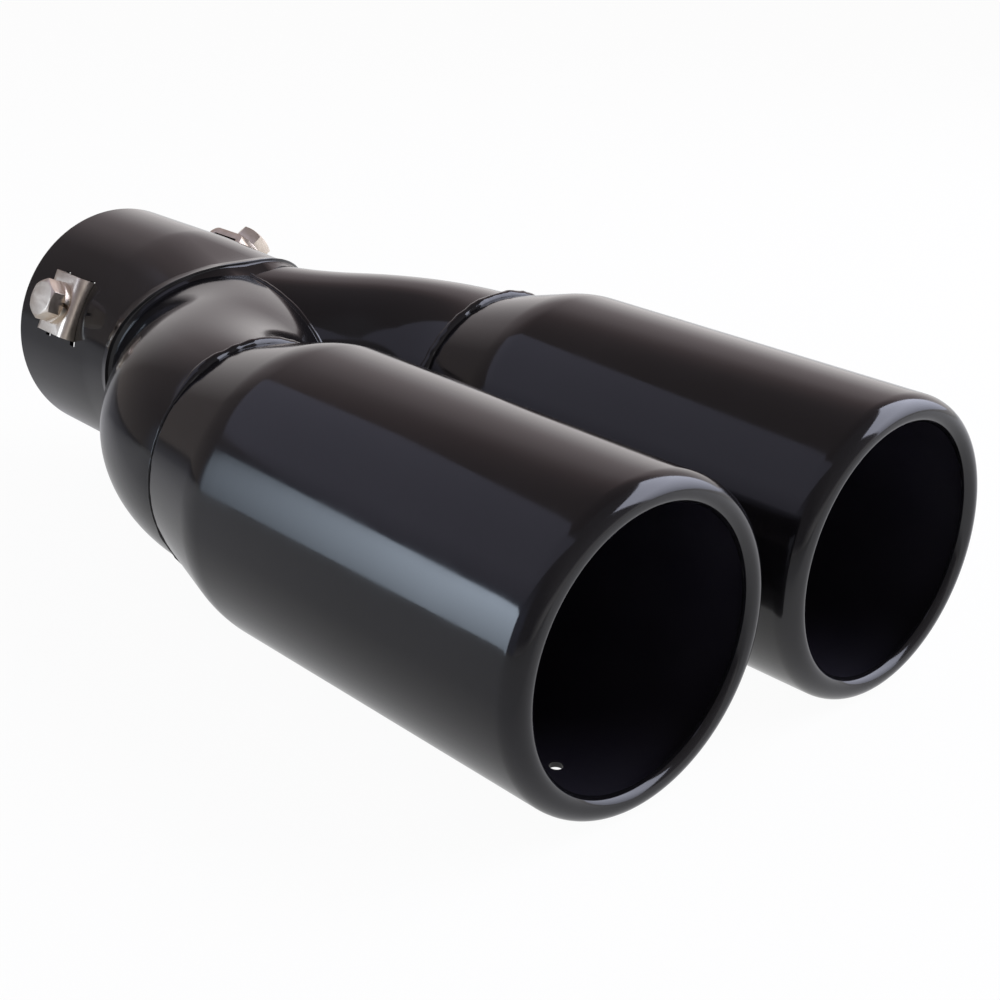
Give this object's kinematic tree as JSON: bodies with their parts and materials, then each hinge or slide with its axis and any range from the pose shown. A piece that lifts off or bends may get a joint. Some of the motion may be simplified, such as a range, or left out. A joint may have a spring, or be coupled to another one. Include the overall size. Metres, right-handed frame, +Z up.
{
  "type": "exhaust tip",
  "caption": "Twin-outlet exhaust tip in gloss black coated steel: a clamped inlet collar, a Y of bent pipes and round outlets with rolled-in lips.",
  "frame": {"origin": "centre of the inlet collar's mouth", "axes": "+Y out of the inlet along the tailpipe, outlets towards -Y, +X right seen from the outlets, +Z up"},
  "size_m": [0.148, 0.2484, 0.0768],
  "materials": {
    "black_coat": "gloss",
    "bright_steel": "satin"
  },
  "bodies": {
    "root": {"inlet_collar": "black_coat", "left_branch_pipe": "black_coat", "right_branch_pipe": "black_coat", "left_outlet": "black_coat", "right_outlet": "black_coat", "collar_weld": "black_coat", "branch_weld": "black_coat", "left_outlet_weld": "black_coat", "right_outlet_weld": "black_coat", "left_clip": "bright_steel", "left_bolt": "bright_steel", "left_spring_washer": "bright_steel", "right_clip": "bright_steel", "right_bolt": "bright_steel", "right_spring_washer": "bright_steel", "lower_clip": "bright_steel", "lower_bolt": "bright_steel", "lower_spring_washer": "bright_steel"}
  },
  "joints": []
}
